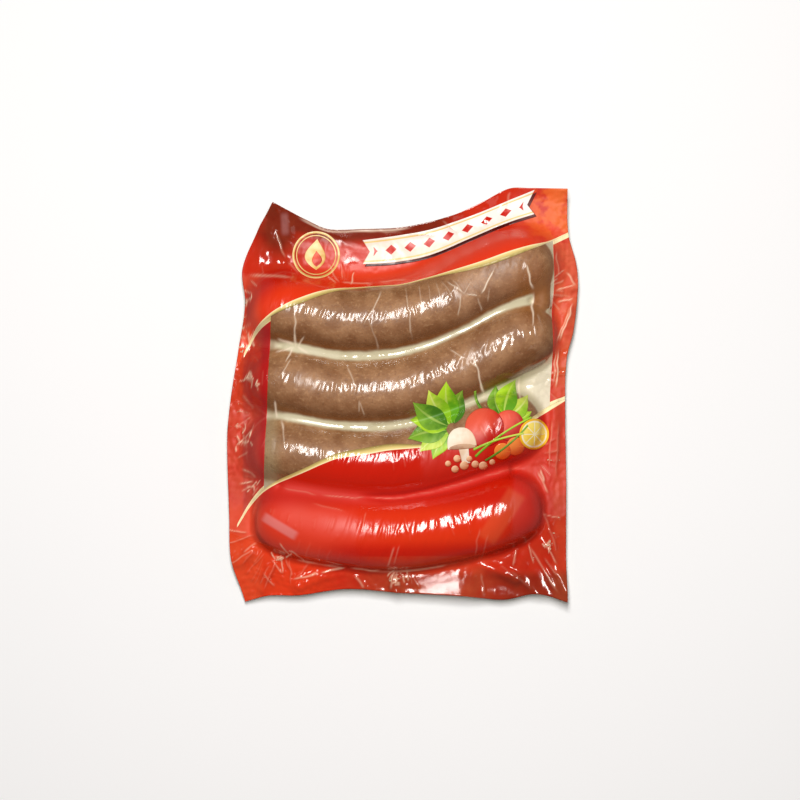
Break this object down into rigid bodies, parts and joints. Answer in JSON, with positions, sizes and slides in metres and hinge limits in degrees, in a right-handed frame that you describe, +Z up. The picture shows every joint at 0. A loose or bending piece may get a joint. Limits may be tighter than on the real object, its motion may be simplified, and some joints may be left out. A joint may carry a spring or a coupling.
{
  "type": "vacuum pack of sausage links",
  "caption": "Flat vacuum-sealed film pack lying printed face up, drawn tight over curved sausage links side by side, with a wavy sealed flange all round.",
  "frame": {"origin": "middle of the pack's bounding box, on the surface it lies on", "axes": "+X across the pack along the links, +Y towards the header, +Z up out of the printed face"},
  "size_m": [0.1756, 0.2076, 0.032],
  "materials": {
    "printed_film": "glossy red printed film, wrinkled",
    "clear_film": "clear glossy vacuum film",
    "back_film": "pale milky glossy film",
    "casing": "moist brown sausage casing, finely mottled"
  },
  "bodies": {
    "root": {"vacuum_pack": "printed_film"}
  },
  "joints": []
}
